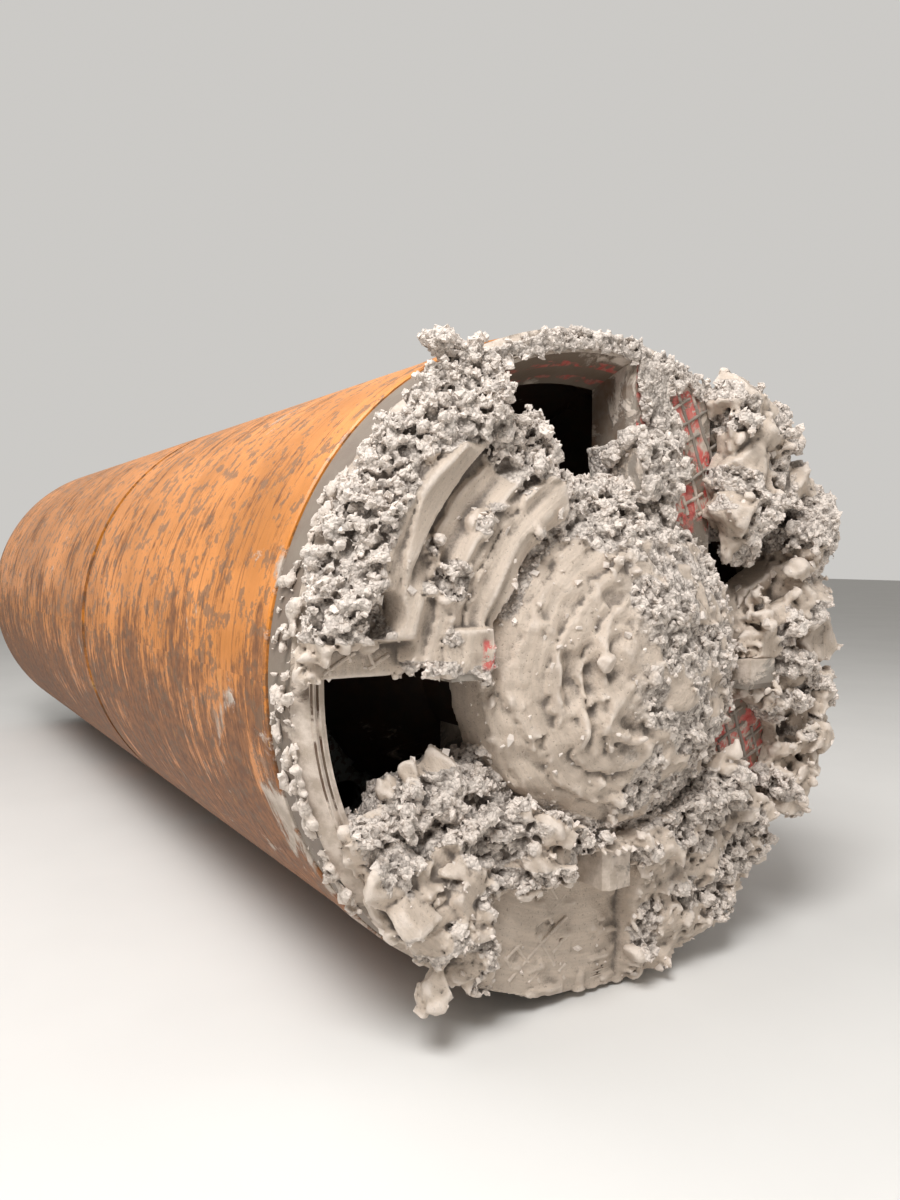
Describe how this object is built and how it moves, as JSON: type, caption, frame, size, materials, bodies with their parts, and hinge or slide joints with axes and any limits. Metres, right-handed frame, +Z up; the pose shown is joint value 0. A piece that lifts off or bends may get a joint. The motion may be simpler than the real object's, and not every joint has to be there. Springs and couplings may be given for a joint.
{
  "type": "microtunnelling machine",
  "caption": "Steerable tunnelling shield with a clay-caked turning cutterhead, an articulation joint with four steering cylinders, slurry lines and a spigot tail",
  "frame": {"origin": "centre of the overall box at floor level, below the machine's axis", "axes": "+X along the machine's axis towards the cutterhead, +Y to the machine's left, +Z up"},
  "size_m": [4.492, 1.4998, 1.4998],
  "materials": {
    "head_steel": "worn",
    "tooth_steel": "worn",
    "cast_steel": "rough",
    "clay": "rough",
    "shield_paint": "worn",
    "inner_paint": "satin",
    "motor_paint": "satin",
    "pipe_steel": "satin",
    "target_plastic": "matte",
    "ring_steel": "satin",
    "rod_chrome": "polished",
    "barrel_paint": "satin",
    "walkway_steel": "galvanised",
    "cabinet_paint": "satin",
    "seal_rubber": "matte",
    "lamp_plastic": "satin"
  },
  "bodies": {
    "rear_shield": {"rear_skin": "shield_paint", "ball_collar": "ring_steel", "rear_frames": "inner_paint", "barrel_top": "barrel_paint", "barrel_left": "barrel_paint", "barrel_bottom": "barrel_paint", "barrel_right": "barrel_paint", "walkway": "walkway_steel", "power_pack": "motor_paint", "cabinet": "cabinet_paint", "unit_shelves": "inner_paint", "feed_line": "pipe_steel", "discharge_line": "pipe_steel", "tail_spigot": "ring_steel", "tail_seal": "seal_rubber", "lamp": "lamp_plastic"},
    "joint_ring": {"joint_ring": "ring_steel"},
    "front_shield": {"front_skin": "shield_paint", "wear_band": "shield_paint", "chamber_liner": "cast_steel", "bulkhead": "inner_paint", "drive_housing": "inner_paint", "drive_motors": "motor_paint", "front_frame": "inner_paint", "front_lines": "pipe_steel", "laser_target": "target_plastic"},
    "cutterhead": {"head_rim": "head_steel", "arm_1": "head_steel", "arm_2": "head_steel", "arm_3": "head_steel", "arm_4": "head_steel", "hub_nose": "head_steel", "teeth": "tooth_steel", "arm_gussets": "head_steel", "crusher_cone": "cast_steel", "clay_cap": "clay", "clay_side_arm": "clay", "clay_low_arm": "clay", "clay_far_lumps": "clay", "clay_crest": "clay"},
    "rod_top": {"rod_top": "rod_chrome"},
    "rod_left": {"rod_left": "rod_chrome"},
    "rod_bottom": {"rod_bottom": "rod_chrome"},
    "rod_right": {"rod_right": "rod_chrome"},
    "cabinet_door": {"cabinet_door": "cabinet_paint"}
  },
  "joints": [
    {"name": "steer_yaw", "type": "hinge", "parent": "rear_shield", "child": "joint_ring", "pos_m": [0.245, 0, 0.75], "axis": [0, 0, 1], "range_deg": [-2, 2]},
    {"name": "steer_pitch", "type": "hinge", "parent": "joint_ring", "child": "front_shield", "pos_m": [0.245, 0, 0.75], "axis": [0, 1, 0], "range_deg": [-2, 2]},
    {"name": "head_turn", "type": "hinge", "parent": "front_shield", "child": "cutterhead", "pos_m": [2.046, 0, 0.75], "axis": [1, 0, 0], "continuous": true},
    {"name": "rod_top_slide", "type": "slide", "parent": "rear_shield", "child": "rod_top", "axis": [1, 0, 0], "range_m": [-0.0212, 0.0212]},
    {"name": "rod_bottom_slide", "type": "slide", "parent": "rear_shield", "child": "rod_bottom", "axis": [1, 0, 0], "range_m": [-0.0212, 0.0212]},
    {"name": "rod_left_slide", "type": "slide", "parent": "rear_shield", "child": "rod_left", "axis": [1, 0, 0], "range_m": [-0.0212, 0.0212]},
    {"name": "rod_right_slide", "type": "slide", "parent": "rear_shield", "child": "rod_right", "axis": [1, 0, 0], "range_m": [-0.0212, 0.0212]},
    {"name": "cabinet_door_hinge", "type": "hinge", "parent": "rear_shield", "child": "cabinet_door", "pos_m": [-1.283, -0.386, 0.69], "axis": [0, 0, 1], "range_deg": [0, 100]}
  ],
  "couplings": [
    {"joint": "rod_top_slide", "follows": "steer_pitch", "m_per_rad": 0.6},
    {"joint": "rod_bottom_slide", "follows": "steer_pitch", "m_per_rad": -0.6},
    {"joint": "rod_left_slide", "follows": "steer_yaw", "m_per_rad": -0.6},
    {"joint": "rod_right_slide", "follows": "steer_yaw", "m_per_rad": 0.6}
  ]
}
